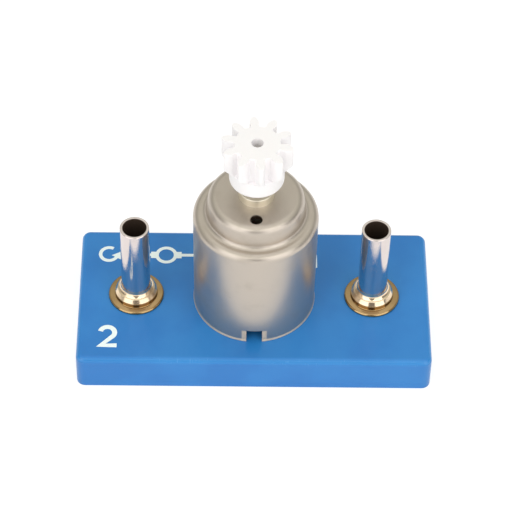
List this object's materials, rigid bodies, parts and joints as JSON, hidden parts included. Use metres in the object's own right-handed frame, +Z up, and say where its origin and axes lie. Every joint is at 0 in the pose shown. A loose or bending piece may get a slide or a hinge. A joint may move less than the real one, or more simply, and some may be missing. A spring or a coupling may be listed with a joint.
{
  "type": "demonstration electric motor",
  "caption": "Small round electric motor standing on a blue moulded block, with a white pinion on its shaft and a plated tube socket on a brass flange at each side.",
  "frame": {"origin": "middle of the block's underside, on the motor's axis", "axes": "+X along the block towards the right-hand socket, +Y to the back, +Z up along the motor's shaft"},
  "size_m": [0.061, 0.0296, 0.0455],
  "materials": {
    "blue_plastic": "moulded, satin",
    "plated_can": "satin nickel plate",
    "sintered_bronze": "oiled, porous",
    "spring_steel": "rolled",
    "black_nylon": "moulded",
    "ferrite": "ground ceramic, dark grey",
    "spring_bronze": "rolled sheet",
    "carbon": "pressed graphite",
    "plated_tube": "bright nickel plate",
    "flange_brass": "bright, lightly worn",
    "strip_brass": "stamped",
    "solder": "dull tin",
    "ground_steel": "ground",
    "lamination_steel": "stacked sheet",
    "red_fibre": "pressed fibre",
    "enamelled_copper": "varnished wire",
    "commutator_copper": "turned",
    "white_nylon": "moulded",
    "white_acetal": "moulded, satin"
  },
  "bodies": {
    "base": {"base_block": "blue_plastic", "motor_can": "plated_can", "front_bearing": "sintered_bronze", "rear_bearing": "sintered_bronze", "thrust_disc": "spring_steel", "end_cap": "black_nylon", "magnet_left": "ferrite", "magnet_right": "ferrite", "magnet_spring_front": "spring_steel", "magnet_spring_back": "spring_steel", "brush_arm_left": "spring_bronze", "brush_arm_right": "spring_bronze", "carbon_brush_left": "carbon", "carbon_brush_right": "carbon", "terminal_post_left": "plated_tube", "terminal_post_right": "plated_tube", "flange_washer_left": "flange_brass", "flange_washer_right": "flange_brass", "flange_collar_left": "plated_tube", "flange_collar_right": "plated_tube", "contact_strip_left": "strip_brass", "contact_strip_right": "strip_brass", "solder_joint_left": "solder", "solder_joint_right": "solder"},
    "rotor": {"motor_shaft": "ground_steel", "armature_core": "lamination_steel", "armature_insulators": "red_fibre", "coil_1": "enamelled_copper", "coil_2": "enamelled_copper", "coil_3": "enamelled_copper", "commutator_hub": "black_nylon", "commutator_segments": "commutator_copper", "commutator_ring": "red_fibre", "shaft_spacer": "white_nylon", "drive_pinion": "white_acetal"}
  },
  "joints": [
    {"name": "rotor_spin", "type": "hinge", "parent": "base", "child": "rotor", "pos_m": [0, 0, 0.03], "axis": [0, 0, 1], "continuous": true}
  ]
}
